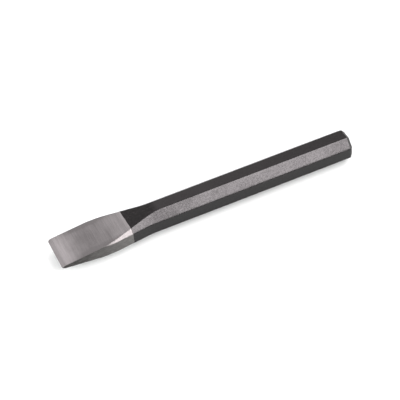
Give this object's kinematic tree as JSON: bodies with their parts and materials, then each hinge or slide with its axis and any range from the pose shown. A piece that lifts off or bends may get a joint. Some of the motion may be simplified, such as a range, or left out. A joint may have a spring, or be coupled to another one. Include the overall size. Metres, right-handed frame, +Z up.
{
  "type": "cold chisel",
  "caption": "Flat cold chisel forged from an octagonal bar: flared bare wedge blade with a ground cutting edge, black coated shank and chamfered striking end.",
  "frame": {"origin": "centre of the bounding box's bottom face: on the flat the chisel lies on, midway along the tool", "axes": "+X along the tool from the cutting edge to the struck end, +Y across the blade's width, +Z up through the blade's thickness"},
  "size_m": [0.2032, 0.0254, 0.0189],
  "materials": {
    "bare_steel": "satin ground tool steel, bare on the blade",
    "black_lacquer": "semi-gloss black coat"
  },
  "bodies": {
    "root": {"forged_steel_bar": "bare_steel", "black_lacquer_coat": "black_lacquer"}
  },
  "joints": []
}
